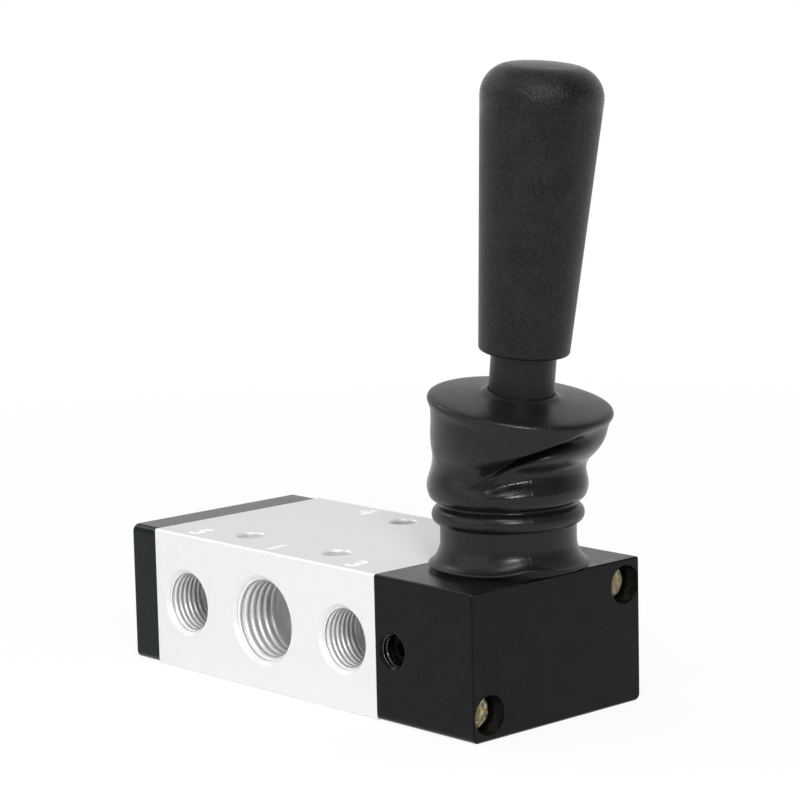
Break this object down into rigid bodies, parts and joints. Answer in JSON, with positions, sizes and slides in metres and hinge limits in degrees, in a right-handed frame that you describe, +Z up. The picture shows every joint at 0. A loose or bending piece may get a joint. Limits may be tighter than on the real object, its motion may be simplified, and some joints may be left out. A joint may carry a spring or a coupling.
{
  "type": "hand lever air valve",
  "caption": "Pneumatic five-port spool valve shifted by a hand lever, with threaded ports on two sides, a rubber lever boot and through holes for mounting.",
  "frame": {"origin": "middle of the body's underside, straight below the supply port's axis", "axes": "+X along the spool towards the lever housing; -Y is the side with the supply and exhaust ports; +Z up, away from the mounting face"},
  "size_m": [0.0856, 0.035, 0.0963],
  "materials": {
    "body_aluminium": "fine matte, clear anodised",
    "cap_black": "matte moulded",
    "gasket_rubber": "matte",
    "screw_plated": "bright yellowish plating",
    "housing_black": "satin black anodised",
    "socket_black": "satin black",
    "ground_steel": "ground",
    "black_steel": "black oxide, satin",
    "spring_steel": "drawn wire",
    "spool_aluminium": "turned",
    "seal_rubber": "satin",
    "guide_plastic": "moulded",
    "insert_brass": "turned",
    "grip_plastic": "fine grained matte",
    "boot_rubber": "satin rubber"
  },
  "bodies": {
    "valve": {"valve_body": "body_aluminium", "end_cap": "cap_black", "end_cap_gasket": "gasket_rubber", "end_cap_screws": "screw_plated", "lever_housing": "housing_black", "housing_gasket": "gasket_rubber", "housing_screws": "screw_plated", "lever_socket": "socket_black", "pivot_pin": "ground_steel", "detent_set_screw": "black_steel", "detent_spring": "spring_steel", "boot": "boot_rubber"},
    "lever": {"lever_rod": "black_steel", "grip_insert": "insert_brass", "handle_grip": "grip_plastic"},
    "spool": {"spool": "spool_aluminium", "spool_seals": "seal_rubber", "spool_coupling": "ground_steel", "guide_ring": "guide_plastic"},
    "ball": {"detent_ball": "ground_steel"}
  },
  "joints": [
    {"name": "lever_hinge", "type": "hinge", "parent": "valve", "child": "lever", "pos_m": [0.03625, 0, 0.02], "axis": [0, 1, 0], "range_deg": [-13.6, 0], "deforming": ["boot"]},
    {"name": "spool_slide", "type": "slide", "parent": "valve", "child": "spool", "axis": [1, 0, 0], "range_m": [0, 0.00213]},
    {"name": "ball_slide", "type": "slide", "parent": "valve", "child": "ball", "axis": [0, 1, 0], "range_m": [0, 0.00025], "stiffness_N_per_m": 200, "deforming": ["detent_spring"]}
  ],
  "couplings": [
    {"joint": "spool_slide", "follows": "lever_hinge", "m_per_rad": -0.0089789}
  ]
}
